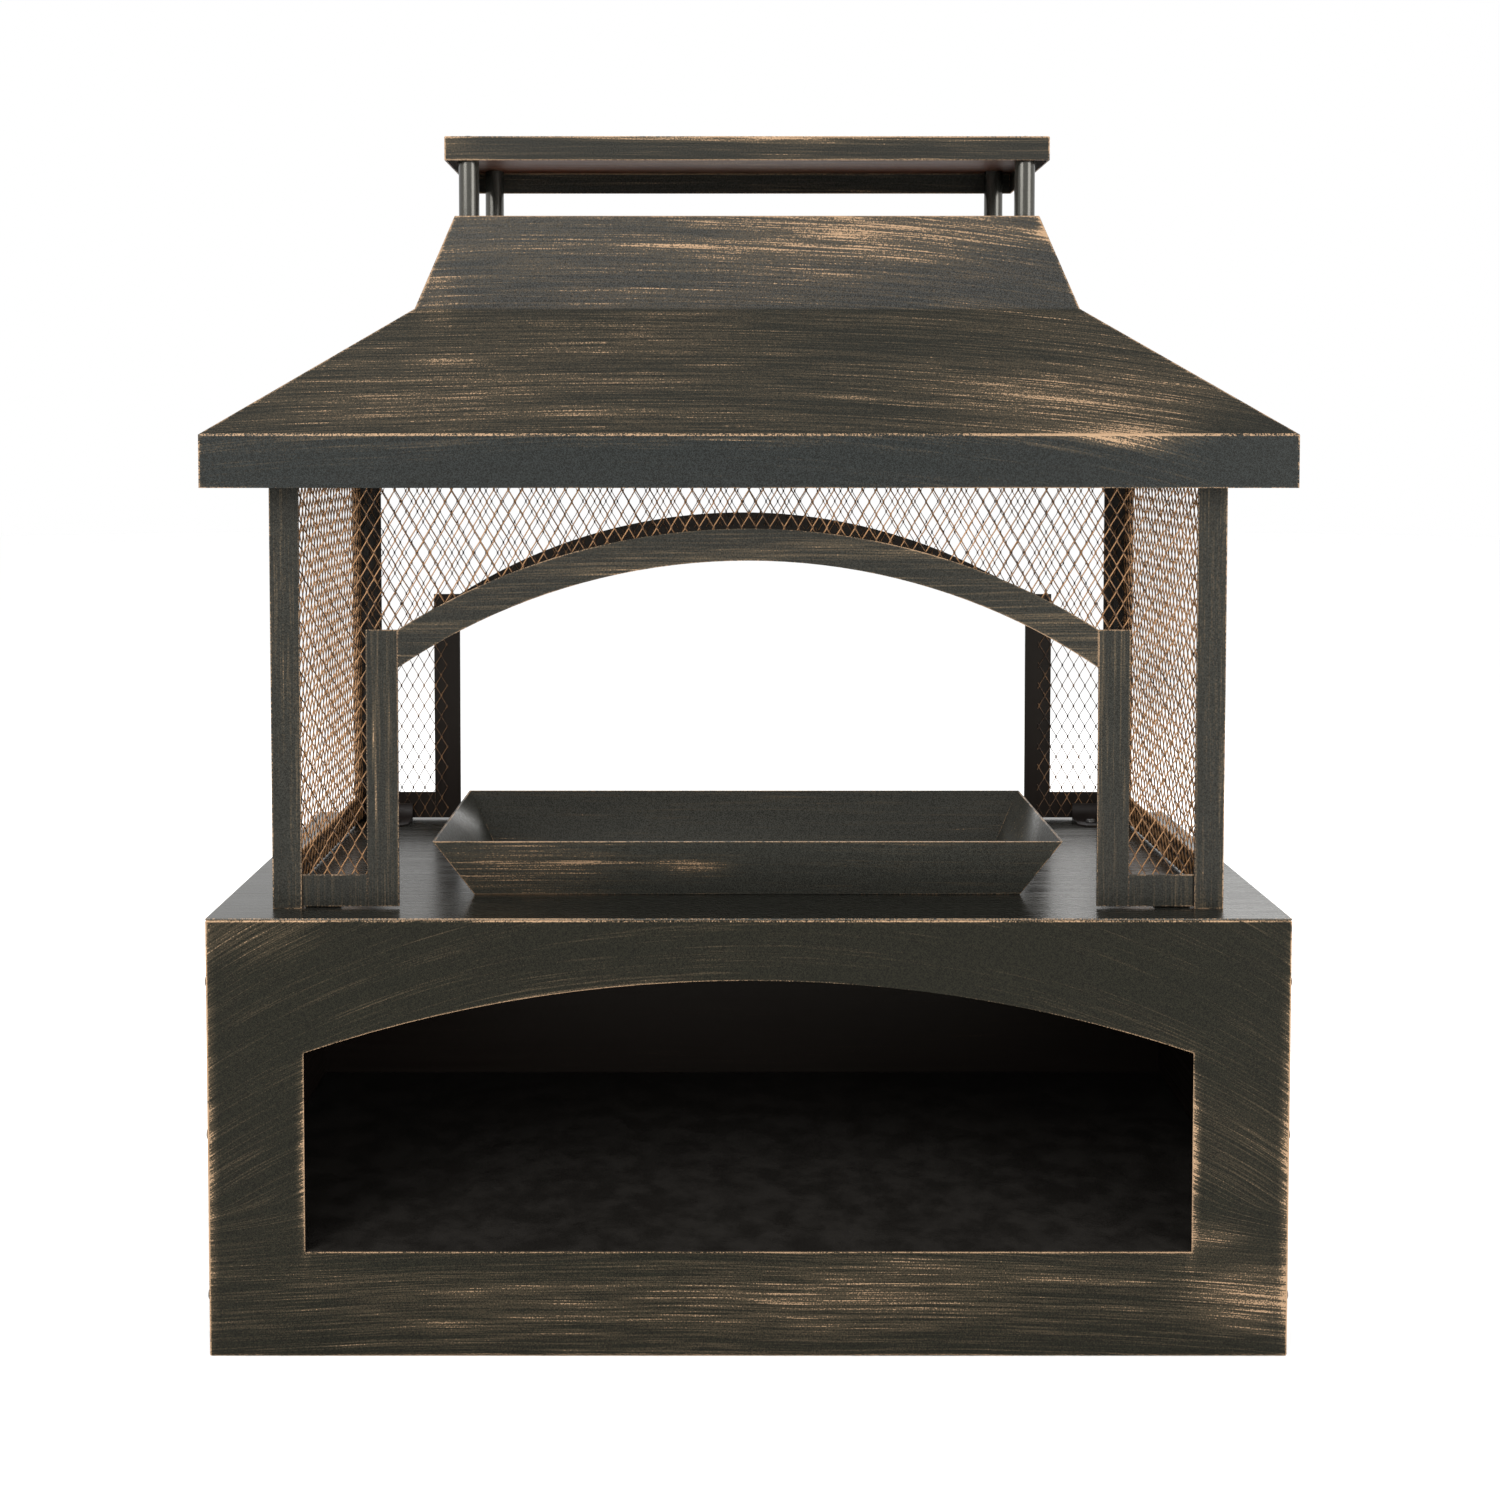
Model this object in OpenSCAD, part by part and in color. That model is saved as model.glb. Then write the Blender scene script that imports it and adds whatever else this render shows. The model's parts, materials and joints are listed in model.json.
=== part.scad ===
// Steel garden chiminea: a box base with an arched log store, a mesh-walled fire chamber
// in an angle-iron frame, a hipped hood and a raised flat cap, with a loose fire pan.
// The front faces -Y. The origin is on the ground under the middle. Sizes are in mm.

/* [Base] */
// Width of the base box
base_w = 900; // [700:10:1200]
// Depth of the base box, front to back
base_d = 410; // [340:10:560]
// Height of the hearth top above the ground
base_h = 369; // [300:1:480]
// Thickness of the folded sheet in the base, hood and cap
sheet_t = 1.5; // [1:0.1:2.5]
// Width of the folded return flanges round the base panels
flange_w = 20; // [16:1:30]
// Solid front beside the log window, each side
pier_w = 80.5; // [50:0.5:140]
// Height of the log shelf and window sill
sill_z = 88; // [60:1:120]
// Height of the solid front above the crown of the log window
lintel_h = 52; // [35:1:90]
// Rise of the arched window head
window_rise = 61; // [20:1:90]
// Depth of the log shelf's turned-down edges
shelf_lip = 20; // [16:1:30]
// Depth of the two stiffening channels under the hearth
channel_h = 25; // [15:1:35]

/* [Fire chamber] */
// Hearth left showing beside the chamber
ledge_side = 48; // [20:1:80]
// Hearth left showing in front of and behind the chamber
ledge_front = 30; // [15:1:50]
// Height of the chamber frame above the hearth
chamber_h = 383; // [300:1:480]
// Leg width of the angle-iron corner posts
post_leg = 25; // [20:1:35]
// Thickness of the corner posts
post_t = 2; // [1.5:0.5:4]
// Width of the flat frame strips
strip_w = 27; // [20:1:35]
// Thickness of the flat frame strips
strip_t = 2; // [1.5:0.5:3]
// Mesh showing between a post and the opening's upright
mesh_gap = 55; // [20:1:90]
// Distance from the crown of the arch to the top of the frame
arch_drop = 61.4; // [40:0.2:100]
// Rise of the arch over the opening
arch_rise = 85.2; // [40:0.2:120]
// Thickness of the expanded mesh
mesh_t = 1.2; // [0.8:0.1:2]
// Light gap under the frame strips
strip_lift = 1.5; // [0.5:0.5:4]

/* [Hold-down brackets] */
// Width of a hold-down bracket
bracket_w = 30; // [22:1:40]
// Reach of a bracket along the hearth
bracket_reach = 37; // [28:1:50]
// Height of a bracket's upright leg
bracket_h = 17; // [12:1:26]

/* [Hood] */
// Overhang of the eaves beside the chamber
eave_side = 49; // [30:1:70]
// Overhang of the eaves in front of and behind the chamber
eave_front = 31; // [20:1:50]
// Height of the upright eaves band
fascia_h = 43.8; // [30:0.2:60]
// How far the eaves band hangs below the top of the chamber frame
fascia_lap = 26.5; // [24:0.5:34]
// Height of the shallow lower slope
lower_h = 109.7; // [70:0.1:150]
// Height of the steep upper slope
upper_h = 82.7; // [50:0.1:120]
// Part of the way in at which the slope changes
knee_share = 0.833; // [0.6:0.001:0.93]
// Width of the throat at the top of the hood
throat_w = 513; // [380:1:600]
// Depth of the throat
throat_d = 195; // [150:1:260]
// Distance of the hood brackets from the chamber's corners
hood_bracket_in = 75; // [60:1:110]
// Width of a hood bracket
hood_bracket_w = 25; // [20:1:35]

/* [Cap] */
// Smoke gap between the throat and the cap's rim
smoke_gap = 48; // [25:1:80]
// Height of the cap's edge
cap_h = 21; // [14:1:35]
// How far the cap overlaps the throat at each side
cap_side = 8.5; // [2:0.5:30]
// How far the cap overlaps the throat at front and back
cap_front = 2.5; // [1:0.5:20]
// Diameter of the four cap tubes
tube_d = 18; // [12:0.5:25]
// Wall of the cap tubes
tube_t = 1.5; // [1:0.1:2.5]
// Depth of the tapped plug in the head of each tube
plug_h = 16; // [10:1:25]
// Depth below the throat of the bars that carry the tubes
bar_drop = 20.5; // [10:0.5:40]
// Thickness of those bars
bar_t = 3; // [2:0.5:5]
// Width of those bars
bar_w = 25; // [20:1:35]

/* [Fire pan] */
// Space between the pan's rim and the opening, each side
pan_side_gap = 26; // [10:1:60]
// Distance of the pan's rim behind the chamber front
pan_setback = 14; // [6:1:40]
// Depth of the pan over its rim
pan_d = 216; // [150:1:240]
// Height of the pan
pan_h = 54; // [35:1:75]
// Outward flare of each pan wall
pan_flare = 31; // [5:1:40]
// Thickness of the pan sheet
pan_t = 1.5; // [1:0.1:2.5]

/* [Fasteners and fits] */
// Diameter of the bolts
bolt_d = 6; // [4:1:8]
// Extra diameter of a bolt hole
hole_play = 0.6; // [0.3:0.1:1]
// Diameter of a bolt head
head_d = 11; // [9:1:14]
// Height of a bolt head
head_h = 3; // [2:0.5:5]
// Height of a nut
nut_h = 5; // [4:0.5:7]
// Bolt showing past its nut
bolt_tail = 1.5; // [0.5:0.5:4]
// Gap left where folded flanges meet at a corner
corner_gap = 1; // [0.5:0.1:3]
// Gap between a cap tube and the throat
tube_gap = 0.6; // [0.3:0.1:2]

/* [Hidden] */
$fn = 64;

charcoal = [0.20, 0.20, 0.18];
dark_steel = [0.15, 0.15, 0.14];
copper = [0.62, 0.43, 0.28];
zinc = [0.55, 0.55, 0.53];

bolt_r = bolt_d / 2;
hole_r = (bolt_d + hole_play) / 2;
head_r = head_d / 2;
nut_r = bolt_d * 0.96;

// Base
half_w = base_w / 2;
half_d = base_d / 2;
panel_h = base_h - sheet_t;
side_in = half_w - 2 * sheet_t;
window_w = base_w - 2 * pier_w;
window_top = base_h - lintel_h;
window_r = (pow(window_w / 2, 2) + pow(window_rise, 2)) / (2 * window_rise);
bolt_in = (flange_w + sheet_t) / 2;
panel_bolt_z = [base_h * 0.13, base_h * 0.5, base_h * 0.85];
shelf_bolt_y = base_d * 0.28;
shelf_bolt_z = sill_z - shelf_lip / 2;
channel_x = base_w / 6;
channel_len = base_d - 2 * flange_w - 2 * corner_gap - 4;

// Chamber
chamber_w = base_w - 2 * ledge_side;
chamber_d = base_d - 2 * ledge_front;
cw = chamber_w / 2;
cd = chamber_d / 2;
chamber_top = base_h + chamber_h;
strip_y = cd - post_t;
strip_z = base_h + strip_lift;
open_half = cw - post_leg - mesh_gap - strip_w;
arch_top = chamber_top - arch_drop;
stile_top = arch_top - arch_rise;
arch_r = (pow(open_half, 2) + pow(arch_rise, 2)) / (2 * arch_rise);
arch_z = arch_top - arch_r;
mesh_y = strip_y - strip_t;
mesh_x = cw - post_t - strip_t;

// Hold-down brackets
foot_x = cw - post_leg - bracket_w / 2 - 2;
foot_y = mesh_y - mesh_t;
foot_bolt_y = foot_y - bracket_reach * 0.58;

// Hood
eave_w = chamber_w + 2 * eave_side;
eave_d = chamber_d + 2 * eave_front;
fascia_z = chamber_top - fascia_lap;
eave_z = fascia_z + fascia_h;
knee_z = eave_z + lower_h;
throat_z = knee_z + upper_h;
inset_x = (eave_w - throat_w) / 2;
inset_y = (eave_d - throat_d) / 2;
mitre_reach = 1.1;
hood_bracket_y = cd - hood_bracket_in;
hood_bolt_z = chamber_top - post_t - (fascia_lap - post_t) / 2;

// Cap
cap_z = throat_z + smoke_gap;
cap_top = cap_z + cap_h;
bar_z = throat_z - bar_drop - bar_t;
tube_x = eave_w / 2 - throat_wall(inset_x) - tube_d / 2 - tube_gap;
tube_y = eave_d / 2 - throat_wall(inset_y) - tube_d / 2 - tube_gap;

// Fire pan
pan_w = 2 * (open_half - pan_side_gap);
pan_y = -cd + pan_setback + pan_d / 2;

function unit(v) = v / norm(v);
function inward(a, b) = [unit(b - a)[1], -unit(b - a)[0]];
function mitre(a, b, c, t) =
    b + t * (inward(a, b) + inward(b, c)) / (1 + inward(a, b) * inward(b, c));

// Outer face of the hood as distance in from the eave and height
function hood_line(inset) = [
    [0, fascia_z],
    [0, eave_z],
    [inset * knee_share, knee_z],
    [inset, throat_z]
];

// How far in from the eave the inner face of the throat lies
function throat_wall(inset) = let (p = hood_line(inset)) inset + sheet_t / inward(p[2], p[3])[0];

// Inner face of the hood, one sheet thickness inside the outer face
function hood_inner(inset) = let (p = hood_line(inset)) [
    p[0] + [sheet_t, 0],
    mitre(p[0], p[1], p[2], sheet_t),
    mitre(p[1], p[2], p[3], sheet_t),
    [throat_wall(inset), throat_z]
];

module block(a, b) {
    translate(a)
        cube(b - a);
}

// A flat outline drawn in width and height, stood up between two depths
module upright(y0, y1) {
    translate([0, y1, 0])
        rotate([90, 0, 0])
            linear_extrude(height = y1 - y0)
                children();
}

module bolt(grip) {
    reach = grip + nut_h + bolt_tail;
    cylinder(h = head_h * 0.4, r = head_r);
    translate([0, 0, head_h * 0.4])
        cylinder(h = head_h * 0.6, r1 = head_r, r2 = head_r * 0.65);
    translate([0, 0, -reach])
        cylinder(h = reach + head_h / 2, r = bolt_r);
}

module nut() {
    difference() {
        cylinder(h = nut_h, r = nut_r, $fn = 6);
        translate([0, 0, -1])
            cylinder(h = nut_h + 2, r = hole_r);
    }
}

// Four copies, one in each corner
module each_corner() {
    for (sx = [0, 1])
        for (sy = [0, 1])
            mirror([sx, 0, 0])
                mirror([0, sy, 0])
                    children();
}

module hole_x(x, y, z) {
    translate([x - 10, y, z])
        rotate([0, 90, 0])
            cylinder(h = 20, r = hole_r);
}

// Base

module long_panel() {
    difference() {
        union() {
            block([-half_w, -half_d, 0], [half_w, -half_d + sheet_t, panel_h]);
            for (s = [0, 1])
                mirror([s, 0, 0])
                    block([half_w - sheet_t, -half_d, 0], [half_w, -half_d + flange_w, panel_h]);
            for (z = [0, panel_h - sheet_t])
                block([-side_in + corner_gap, -half_d, z],
                      [side_in - corner_gap, -half_d + flange_w, z + sheet_t]);
        }
        for (s = [-1, 1])
            for (z = panel_bolt_z)
                hole_x(s * half_w, -half_d + bolt_in, z);
    }
}

module window_outline() {
    intersection() {
        translate([-window_w / 2, sill_z])
            square([window_w, window_top - sill_z]);
        translate([0, window_top - window_r])
            circle(r = window_r, $fn = 240);
    }
}

module base_front_panel() {
    color(charcoal)
        difference() {
            long_panel();
            upright(-half_d - 1, -half_d + sheet_t + 1)
                window_outline();
        }
}

module base_back_panel() {
    color(charcoal)
        mirror([0, 1, 0])
            long_panel();
}

module side_panel() {
    flange_y = half_d - flange_w - corner_gap;
    difference() {
        union() {
            block([side_in, -half_d + sheet_t, 0], [side_in + sheet_t, half_d - sheet_t, panel_h]);
            for (z = [0, panel_h - sheet_t])
                block([side_in - flange_w, -flange_y, z], [side_in + sheet_t, flange_y, z + sheet_t]);
        }
        for (s = [-1, 1]) {
            for (z = panel_bolt_z)
                hole_x(side_in, s * (half_d - bolt_in), z);
            hole_x(side_in, s * shelf_bolt_y, shelf_bolt_z);
        }
    }
}

module base_left_panel() {
    color(charcoal)
        mirror([1, 0, 0])
            side_panel();
}

module base_right_panel() {
    color(charcoal)
        side_panel();
}

module log_shelf() {
    y = half_d - sheet_t;
    color(dark_steel)
        difference() {
            block([-side_in, -y, sill_z - shelf_lip], [side_in, y, sill_z]);
            block([-side_in + sheet_t, -y + sheet_t, sill_z - shelf_lip - 1],
                  [side_in - sheet_t, y - sheet_t, sill_z - sheet_t]);
            for (sx = [-1, 1])
                for (sy = [-1, 1])
                    hole_x(sx * side_in, sy * shelf_bolt_y, shelf_bolt_z);
        }
}

module hearth_plate() {
    color(charcoal)
        difference() {
            block([-half_w, -half_d, panel_h], [half_w, half_d, base_h]);
            each_corner()
                translate([foot_x, foot_bolt_y, panel_h - 1])
                    cylinder(h = sheet_t + 2, r = hole_r);
        }
}

// Hat channel hung under the hearth, running front to back
module hearth_channel() {
    y = channel_len / 2;
    wide = channel_h * 1.2;
    narrow = wide / 2;
    color(dark_steel)
        translate([channel_x, 0, panel_h])
            difference() {
                union() {
                    block([-wide, -y, -sheet_t], [wide, y, 0]);
                    block([-narrow, -y, -channel_h], [narrow, y, 0]);
                }
                block([-narrow + sheet_t, -y - 1, -channel_h + sheet_t],
                      [narrow - sheet_t, y + 1, 1]);
            }
}

module hearth_channel_left() {
    mirror([1, 0, 0])
        hearth_channel();
}

module hearth_channel_right() {
    hearth_channel();
}

// Where the base bolts seat: three up each corner and one in each end of the shelf
module at_panel_bolts(x) {
    each_corner()
        for (z = panel_bolt_z)
            translate([x, half_d - bolt_in, z])
                rotate([0, 90, 0])
                    children();
}

module at_shelf_bolts(x) {
    each_corner()
        translate([x, shelf_bolt_y, shelf_bolt_z])
            rotate([0, 90, 0])
                children();
}

module base_bolts() {
    color(zinc) {
        at_panel_bolts(half_w)
            bolt(2 * sheet_t);
        at_shelf_bolts(side_in + sheet_t)
            bolt(2 * sheet_t);
    }
}

module base_nuts() {
    color(zinc) {
        at_panel_bolts(side_in - nut_h)
            nut();
        at_shelf_bolts(side_in - sheet_t - nut_h)
            nut();
    }
}

// Fire chamber

module corner_post() {
    color(charcoal)
        difference() {
            block([cw - post_leg, cd - post_leg, base_h], [cw, cd, chamber_top]);
            block([cw - post_leg - 1, cd - post_leg - 1, base_h - 1],
                  [cw - post_t, cd - post_t, chamber_top + 1]);
        }
}

module post_front_left() {
    rotate([0, 0, 180])
        corner_post();
}

module post_front_right() {
    mirror([0, 1, 0])
        corner_post();
}

module post_rear_left() {
    mirror([1, 0, 0])
        corner_post();
}

module post_rear_right() {
    corner_post();
}

// The frame strips are drawn for the rear right and turned or mirrored into place
module stile() {
    color(charcoal)
        block([open_half, strip_y - strip_t, strip_z], [open_half + strip_w, strip_y, stile_top]);
}

module foot_rail() {
    color(charcoal)
        block([open_half + strip_w, strip_y - strip_t, strip_z],
              [cw - post_t, strip_y, strip_z + strip_w]);
}

module top_rail() {
    color(charcoal)
        block([-cw + post_t, strip_y - strip_t, chamber_top - strip_w],
              [cw - post_t, strip_y, chamber_top]);
}

module arch_band() {
    color(charcoal)
        upright(strip_y - strip_t, strip_y)
            intersection() {
                translate([0, arch_z])
                    difference() {
                        circle(r = arch_r, $fn = 240);
                        circle(r = arch_r - strip_w, $fn = 240);
                    }
                translate([-open_half, arch_z + (stile_top - arch_z) / 2])
                    square([2 * open_half, arch_r]);
            }
}

module front_stile_left() {
    rotate([0, 0, 180])
        stile();
}

module front_stile_right() {
    mirror([0, 1, 0])
        stile();
}

module front_arch() {
    mirror([0, 1, 0])
        arch_band();
}

module front_foot_rail_left() {
    rotate([0, 0, 180])
        foot_rail();
}

module front_foot_rail_right() {
    mirror([0, 1, 0])
        foot_rail();
}

module front_top_rail() {
    mirror([0, 1, 0])
        top_rail();
}

module rear_stile_left() {
    mirror([1, 0, 0])
        stile();
}

module rear_stile_right() {
    stile();
}

module rear_arch() {
    arch_band();
}

module rear_foot_rail_left() {
    mirror([1, 0, 0])
        foot_rail();
}

module rear_foot_rail_right() {
    foot_rail();
}

module rear_top_rail() {
    top_rail();
}

module side_rail(z) {
    color(charcoal)
        block([cw - post_t - strip_t, -mesh_y, z], [cw - post_t, mesh_y, z + strip_w]);
}

module side_foot_rail_left() {
    mirror([1, 0, 0])
        side_rail(strip_z);
}

module side_foot_rail_right() {
    side_rail(strip_z);
}

module side_top_rail_left() {
    mirror([1, 0, 0])
        side_rail(chamber_top - strip_w);
}

module side_top_rail_right() {
    side_rail(chamber_top - strip_w);
}

// The mesh panels are plain thin plates here, the thickness of the expanded metal.
// The front and rear ones stop half way across the opening's frame strips.
module arched_mesh() {
    color(copper)
        upright(mesh_y - mesh_t, mesh_y)
            difference() {
                translate([-mesh_x, strip_z])
                    square([2 * mesh_x, chamber_top - strip_z]);
                intersection() {
                    translate([-open_half - strip_w / 2, strip_z - 1])
                        square([2 * open_half + strip_w, chamber_h]);
                    translate([0, arch_z])
                        circle(r = arch_r - strip_w / 2, $fn = 240);
                }
            }
}

module front_mesh() {
    mirror([0, 1, 0])
        arched_mesh();
}

module rear_mesh() {
    arched_mesh();
}

module side_mesh() {
    y = mesh_y - mesh_t;
    color(copper)
        block([mesh_x - mesh_t, -y, strip_z], [mesh_x, y, chamber_top]);
}

module left_mesh() {
    mirror([1, 0, 0])
        side_mesh();
}

module right_mesh() {
    side_mesh();
}

// Bent tab that holds the chamber frame down on the hearth
module foot_bracket() {
    cut = bracket_w / 4;
    color(dark_steel)
        difference() {
            union() {
                translate([foot_x, foot_y, base_h])
                    linear_extrude(height = strip_t)
                        polygon([
                            [-bracket_w / 2, 0],
                            [-bracket_w / 2, cut - bracket_reach],
                            [cut - bracket_w / 2, -bracket_reach],
                            [bracket_w / 2 - cut, -bracket_reach],
                            [bracket_w / 2, cut - bracket_reach],
                            [bracket_w / 2, 0]
                        ]);
                block([foot_x - bracket_w / 2, foot_y - strip_t, base_h],
                      [foot_x + bracket_w / 2, foot_y, base_h + bracket_h]);
            }
            translate([foot_x, foot_bolt_y, base_h - 1])
                cylinder(h = strip_t + 2, r = hole_r);
        }
}

module foot_bracket_front_left() {
    rotate([0, 0, 180])
        foot_bracket();
}

module foot_bracket_front_right() {
    mirror([0, 1, 0])
        foot_bracket();
}

module foot_bracket_rear_left() {
    mirror([1, 0, 0])
        foot_bracket();
}

module foot_bracket_rear_right() {
    foot_bracket();
}

module foot_bolts() {
    color(zinc)
        each_corner()
            translate([foot_x, foot_bolt_y, base_h + strip_t])
                bolt(strip_t + sheet_t);
}

module foot_nuts() {
    color(zinc)
        each_corner()
            translate([foot_x, foot_bolt_y, panel_h - nut_h])
                nut();
}

// Hood

module hood_section(inset) {
    p = hood_line(inset);
    q = hood_inner(inset);
    polygon([p[0], p[1], p[2], p[3], q[3], q[2], q[1], q[0]]);
}

module hood_long_sheet() {
    far_x = eave_w / 2 - mitre_reach * inset_x;
    far_y = -eave_d / 2 + mitre_reach * inset_y;
    color(charcoal)
        intersection() {
            translate([-eave_w / 2, -eave_d / 2, 0])
                rotate([90, 0, 90])
                    linear_extrude(height = eave_w)
                        hood_section(inset_y);
            translate([0, 0, fascia_z - 1])
                linear_extrude(height = throat_z - fascia_z + 2)
                    polygon([
                        [-eave_w / 2, -eave_d / 2],
                        [eave_w / 2, -eave_d / 2],
                        [far_x, far_y],
                        [-far_x, far_y]
                    ]);
        }
}

module hood_side_sheet() {
    far_x = -eave_w / 2 + mitre_reach * inset_x;
    far_y = eave_d / 2 - mitre_reach * inset_y;
    color(charcoal)
        difference() {
            intersection() {
                translate([-eave_w / 2, eave_d / 2, 0])
                    rotate([90, 0, 0])
                        linear_extrude(height = eave_d)
                            hood_section(inset_x);
                translate([0, 0, fascia_z - 1])
                    linear_extrude(height = throat_z - fascia_z + 2)
                        polygon([
                            [-eave_w / 2, -eave_d / 2],
                            [far_x, -far_y],
                            [far_x, far_y],
                            [-eave_w / 2, eave_d / 2]
                        ]);
            }
            for (s = [-1, 1])
                hole_x(-eave_w / 2, s * hood_bracket_y, hood_bolt_z);
        }
}

module hood_front_sheet() {
    hood_long_sheet();
}

module hood_back_sheet() {
    mirror([0, 1, 0])
        hood_long_sheet();
}

module hood_left_sheet() {
    hood_side_sheet();
}

module hood_right_sheet() {
    mirror([1, 0, 0])
        hood_side_sheet();
}

// Bridge from the side top rail to the inside of the eaves band
module hood_bracket() {
    x0 = cw - post_t;
    x1 = eave_w / 2 - sheet_t;
    z0 = chamber_top - fascia_lap + 3;
    y0 = hood_bracket_y - hood_bracket_w / 2;
    y1 = hood_bracket_y + hood_bracket_w / 2;
    color(dark_steel)
        difference() {
            block([x0, y0, z0], [x1, y1, chamber_top]);
            block([x0 + strip_t, y0 - 1, z0 - 1], [x1 - strip_t, y1 + 1, chamber_top - strip_t]);
            hole_x(x1, hood_bracket_y, hood_bolt_z);
        }
}

module hood_bracket_front_left() {
    rotate([0, 0, 180])
        hood_bracket();
}

module hood_bracket_front_right() {
    mirror([0, 1, 0])
        hood_bracket();
}

module hood_bracket_rear_left() {
    mirror([1, 0, 0])
        hood_bracket();
}

module hood_bracket_rear_right() {
    hood_bracket();
}

module at_hood_bolts(x) {
    each_corner()
        translate([x, hood_bracket_y, hood_bolt_z])
            rotate([0, 90, 0])
                children();
}

module hood_bolts() {
    color(zinc)
        at_hood_bolts(eave_w / 2)
            bolt(sheet_t + strip_t);
}

module hood_nuts() {
    color(zinc)
        at_hood_bolts(eave_w / 2 - sheet_t - strip_t - nut_h)
            nut();
}

// Bar across the throat, ending on the slopes of the front and back sheets
module throat_bar() {
    q = hood_inner(inset_y);
    low_y = eave_d / 2 - q[2][0];
    top_y = eave_d / 2 - q[3][0];
    color(dark_steel)
        intersection() {
            block([tube_x - bar_w / 2, -eave_d / 2, bar_z],
                  [tube_x + bar_w / 2, eave_d / 2, bar_z + bar_t]);
            translate([tube_x - bar_w, 0, 0])
                rotate([90, 0, 90])
                    linear_extrude(height = 2 * bar_w)
                        polygon([
                            [-low_y, q[2][1]],
                            [low_y, q[2][1]],
                            [top_y, q[3][1]],
                            [-top_y, q[3][1]]
                        ]);
        }
}

module throat_bar_left() {
    mirror([1, 0, 0])
        throat_bar();
}

module throat_bar_right() {
    throat_bar();
}

// Cap

module cap_tray() {
    x = throat_w / 2 + cap_side;
    y = throat_d / 2 + cap_front;
    color(charcoal)
        difference() {
            block([-x, -y, cap_z], [x, y, cap_top]);
            block([-x + sheet_t, -y + sheet_t, cap_z - 1],
                  [x - sheet_t, y - sheet_t, cap_top - sheet_t]);
            each_corner()
                translate([tube_x, tube_y, cap_top - sheet_t - 1])
                    cylinder(h = sheet_t + 2, r = hole_r);
        }
}

module cap_tube() {
    top = cap_top - sheet_t;
    color(charcoal)
        translate([tube_x, tube_y, 0])
            difference() {
                translate([0, 0, bar_z + bar_t])
                    cylinder(h = top - bar_z - bar_t, r = tube_d / 2);
                translate([0, 0, bar_z + bar_t - 1])
                    cylinder(h = top - plug_h - bar_z - bar_t + 1, r = tube_d / 2 - tube_t);
                translate([0, 0, top - plug_h - 1])
                    cylinder(h = plug_h + 2, r = hole_r);
            }
}

module cap_tube_front_left() {
    rotate([0, 0, 180])
        cap_tube();
}

module cap_tube_front_right() {
    mirror([0, 1, 0])
        cap_tube();
}

module cap_tube_rear_left() {
    mirror([1, 0, 0])
        cap_tube();
}

module cap_tube_rear_right() {
    cap_tube();
}

module cap_bolts() {
    color(zinc)
        each_corner()
            translate([tube_x, tube_y, cap_top])
                bolt(plug_h - nut_h);
}

// Fire pan

// Solid with four walls leaning out, standing on z = 0
module flared_box(w, d, h, flare) {
    intersection() {
        translate([0, d / 2, 0])
            rotate([90, 0, 0])
                linear_extrude(height = d)
                    polygon([
                        [flare - w / 2, 0],
                        [w / 2 - flare, 0],
                        [w / 2, h],
                        [-w / 2, h]
                    ]);
        translate([-w / 2, 0, 0])
            rotate([90, 0, 90])
                linear_extrude(height = w)
                    polygon([
                        [flare - d / 2, 0],
                        [d / 2 - flare, 0],
                        [d / 2, h],
                        [-d / 2, h]
                    ]);
    }
}

module fire_pan() {
    wall = pan_t * norm([pan_flare, pan_h]) / pan_h;
    slope = pan_flare / pan_h;
    over = 1;
    color(dark_steel)
        translate([0, pan_y, base_h])
            difference() {
                flared_box(pan_w, pan_d, pan_h, pan_flare);
                translate([0, 0, pan_t])
                    flared_box(pan_w - 2 * wall + 2 * slope * over,
                               pan_d - 2 * wall + 2 * slope * over,
                               pan_h - pan_t + over,
                               slope * (pan_h - pan_t + over));
            }
}

base_front_panel();
base_back_panel();
base_left_panel();
base_right_panel();
log_shelf();
hearth_plate();
hearth_channel_left();
hearth_channel_right();
base_bolts();
base_nuts();
post_front_left();
post_front_right();
post_rear_left();
post_rear_right();
front_stile_left();
front_stile_right();
front_arch();
front_foot_rail_left();
front_foot_rail_right();
front_top_rail();
rear_stile_left();
rear_stile_right();
rear_arch();
rear_foot_rail_left();
rear_foot_rail_right();
rear_top_rail();
side_foot_rail_left();
side_foot_rail_right();
side_top_rail_left();
side_top_rail_right();
front_mesh();
rear_mesh();
left_mesh();
right_mesh();
foot_bracket_front_left();
foot_bracket_front_right();
foot_bracket_rear_left();
foot_bracket_rear_right();
foot_bolts();
foot_nuts();
hood_front_sheet();
hood_back_sheet();
hood_left_sheet();
hood_right_sheet();
hood_bracket_front_left();
hood_bracket_front_right();
hood_bracket_rear_left();
hood_bracket_rear_right();
hood_bolts();
hood_nuts();
throat_bar_left();
throat_bar_right();
cap_tray();
cap_tube_front_left();
cap_tube_front_right();
cap_tube_rear_left();
cap_tube_rear_right();
cap_bolts();
fire_pan();
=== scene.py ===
import json
import math
import random

import bmesh
import bpy
from mathutils import Matrix, Vector


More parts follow.
